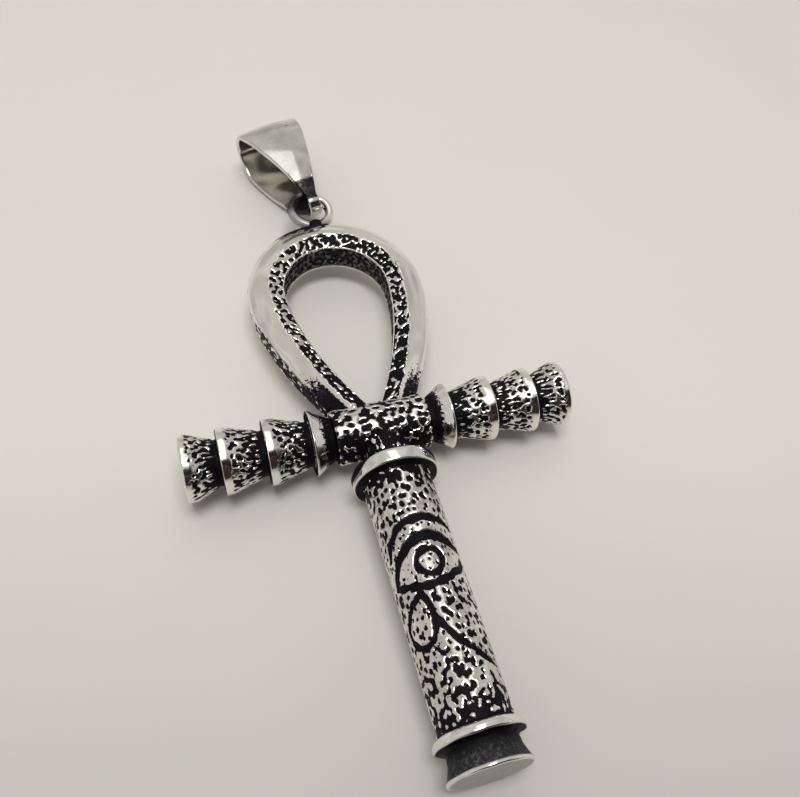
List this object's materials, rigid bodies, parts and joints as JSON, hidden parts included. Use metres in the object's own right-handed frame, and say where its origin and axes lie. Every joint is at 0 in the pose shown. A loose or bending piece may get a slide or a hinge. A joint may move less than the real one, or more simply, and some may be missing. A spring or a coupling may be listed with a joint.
{
  "type": "ankh pendant",
  "caption": "Lying ankh pendant: teardrop loop, turned crossbar of flared cones, round stem with an engraved eye, small soldered ring and a folded bail that swings in it.",
  "frame": {"origin": "on the surface that the pendant lies on, under the middle of the crossbar's length and midway between the foot's end face and the bail's far corner", "axes": "+X along the crossbar, to the right when the eye is seen upright, +Y along the stem from the foot to the bail, +Z out of the side with the eye"},
  "size_m": [0.0362, 0.0758, 0.0078],
  "materials": {
    "antiqued_steel": "cast stainless steel, hammered and blackened in the pits and lines, with polished rims, collars and outer slopes",
    "polished_steel": "mirror-polished stainless steel strip"
  },
  "bodies": {
    "ankh": {"ankh": "antiqued_steel"},
    "bail": {"bail": "polished_steel"}
  },
  "joints": [
    {"name": "bail_swing", "type": "hinge", "parent": "ankh", "child": "bail", "pos_m": [0.00038, 0.02506, 0.00413], "axis": [1, 0, 0], "range_deg": [-90, 100]}
  ]
}
